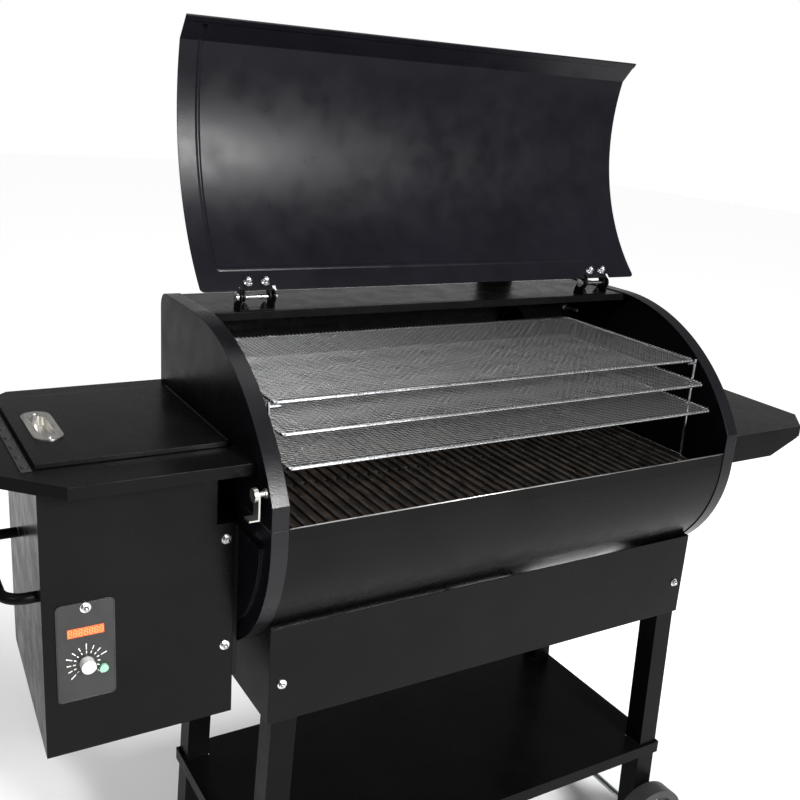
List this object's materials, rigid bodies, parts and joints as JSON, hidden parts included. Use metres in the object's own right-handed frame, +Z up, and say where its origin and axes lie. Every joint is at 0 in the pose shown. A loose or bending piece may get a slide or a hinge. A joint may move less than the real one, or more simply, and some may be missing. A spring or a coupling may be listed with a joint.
{
  "type": "pellet grill",
  "caption": "Wood-pellet grill and smoker on a cart, with side hopper and controls, lift-up lid, side shelf and stacked wire jerky racks.",
  "frame": {"origin": "on the floor, under the middle of the whole grill's box", "axes": "+X from the hopper to the side shelf along the barrel, +Y from front to rear, +Z up"},
  "size_m": [1.52, 0.61, 1.5816],
  "materials": {
    "black_paint": "textured black powder coat",
    "lid_paint": "fine-grained black powder coat",
    "leg_paint": "semi-gloss black powder coat",
    "inner_paint": "heat-resistant black paint",
    "chrome": "bright chrome plating",
    "bright_steel": "brushed stainless steel",
    "zinc_steel": "zinc-plated sheet steel",
    "dark_steel": "heat-darkened steel",
    "enamel": "porcelain-enamelled bar",
    "black_plastic": "satin black moulding",
    "knob_plastic": "satin metallised moulding",
    "display_red": "orange lit display",
    "button_green": "translucent green",
    "rubber": "soft black rubber",
    "wheel_plastic": "moulded black plastic"
  },
  "bodies": {
    "grill": {"leg_front_left": "leg_paint", "leg_front_right": "leg_paint", "leg_rear_left": "leg_paint", "leg_rear_right": "leg_paint", "apron_front": "black_paint", "apron_rear": "black_paint", "apron_sides": "black_paint", "bottom_shelf": "leg_paint", "levelling_feet": "black_plastic", "wheel_axle": "zinc_steel", "barrel_shell": "black_paint", "end_cap_left": "black_paint", "end_cap_right": "black_paint", "end_panel_left": "black_paint", "end_panel_right": "black_paint", "grate_ledges": "inner_paint", "side_shelf": "black_paint", "panel_bolts": "chrome", "hopper_cabinet": "black_paint", "hopper_standoff": "inner_paint", "hopper_top_plate": "black_paint", "hopper_bin": "zinc_steel", "hopper_lid_hinge": "black_paint", "buffer_strip": "rubber", "push_handle": "leg_paint", "control_panel": "black_plastic", "display_window": "display_red", "auger_tube": "zinc_steel", "auger_motor": "black_plastic", "air_duct": "zinc_steel", "fan_housing": "zinc_steel", "fire_pot": "dark_steel", "igniter_rod": "dark_steel", "drain_spout": "zinc_steel", "chimney_pipe": "black_paint", "temperature_probe": "bright_steel", "tool_hook": "bright_steel", "hinge_brackets": "black_paint", "hinge_pins": "chrome"},
    "lid": {"lid_shell": "lid_paint", "lid_hinge_leaves": "black_paint", "lid_handle": "bright_steel"},
    "hopper_lid": {"hopper_lid": "black_paint", "hopper_lid_pull": "bright_steel"},
    "control_knob": {"control_knob": "knob_plastic"},
    "power_button": {"power_button": "button_green"},
    "auger": {"auger_screw": "zinc_steel"},
    "fan": {"fan_rotor": "zinc_steel"},
    "ash_cup": {"ash_cup": "dark_steel"},
    "heat_deflector": {"heat_deflector": "dark_steel"},
    "drip_tray": {"drip_tray": "dark_steel"},
    "grate": {"cooking_grate": "enamel", "rack_stands": "chrome"},
    "rack_low": {"jerky_rack_low": "chrome"},
    "rack_middle": {"jerky_rack_middle": "chrome"},
    "rack_top": {"jerky_rack_top": "chrome"},
    "grease_bucket": {"grease_bucket": "zinc_steel"},
    "chimney_cap": {"chimney_cap": "black_paint"},
    "wheel_front": {"wheel_front": "wheel_plastic"},
    "wheel_rear": {"wheel_rear": "wheel_plastic"}
  },
  "joints": [
    {"name": "lid_hinge", "type": "hinge", "parent": "grill", "child": "lid", "pos_m": [0.04, 0.015, 1.164], "axis": [1, 0, 0], "range_deg": [0, 138]},
    {"name": "hopper_lid_hinge", "type": "hinge", "parent": "grill", "child": "hopper_lid", "pos_m": [-0.431, -0.03, 0.992], "axis": [0, 1, 0], "range_deg": [0, 88]},
    {"name": "knob_turn", "type": "hinge", "parent": "grill", "child": "control_knob", "pos_m": [-0.648, -0.215, 0.706], "axis": [0, 1, 0], "range_deg": [0, 270]},
    {"name": "button_press", "type": "slide", "parent": "grill", "child": "power_button", "axis": [0, 1, 0], "range_m": [0, 0.002], "stiffness_N_per_m": 400},
    {"name": "auger_spin", "type": "hinge", "parent": "grill", "child": "auger", "pos_m": [-0.34, -0.06, 0.735], "axis": [1, 0, 0], "continuous": true},
    {"name": "fan_spin", "type": "hinge", "parent": "grill", "child": "fan", "pos_m": [-0.58, -0.06, 0.625], "axis": [0, 1, 0], "continuous": true},
    {"name": "ash_cup_drop", "type": "slide", "parent": "grill", "child": "ash_cup", "axis": [0, 0, -1], "range_m": [0, 0.06]},
    {"name": "deflector_lift", "type": "slide", "parent": "grill", "child": "heat_deflector", "axis": [0, 0, -1], "range_m": [-0.006, 0]},
    {"name": "tray_lift", "type": "slide", "parent": "grill", "child": "drip_tray", "axis": [0, 0, -1], "range_m": [-0.012, 0]},
    {"name": "grate_lift", "type": "slide", "parent": "grill", "child": "grate", "axis": [0, 0, -1], "range_m": [-0.025, 0]},
    {"name": "rack_low_slide", "type": "slide", "parent": "grate", "child": "rack_low", "axis": [0, 1, 0], "range_m": [-0.25, 0]},
    {"name": "rack_middle_slide", "type": "slide", "parent": "grate", "child": "rack_middle", "axis": [0, 1, 0], "range_m": [-0.25, 0]},
    {"name": "rack_top_slide", "type": "slide", "parent": "grate", "child": "rack_top", "axis": [0, 1, 0], "range_m": [-0.25, 0]},
    {"name": "bucket_lift", "type": "slide", "parent": "grill", "child": "grease_bucket", "axis": [0, 0, -1], "range_m": [-0.03, 0]},
    {"name": "chimney_cap_lift", "type": "slide", "parent": "grill", "child": "chimney_cap", "axis": [0, 0, -1], "range_m": [-0.03, 0]},
    {"name": "wheel_front_spin", "type": "hinge", "parent": "grill", "child": "wheel_front", "pos_m": [0.46644, -0.278, 0.08], "axis": [0, 1, 0], "continuous": true},
    {"name": "wheel_rear_spin", "type": "hinge", "parent": "grill", "child": "wheel_rear", "pos_m": [0.46644, 0.158, 0.08], "axis": [0, 1, 0], "continuous": true}
  ]
}
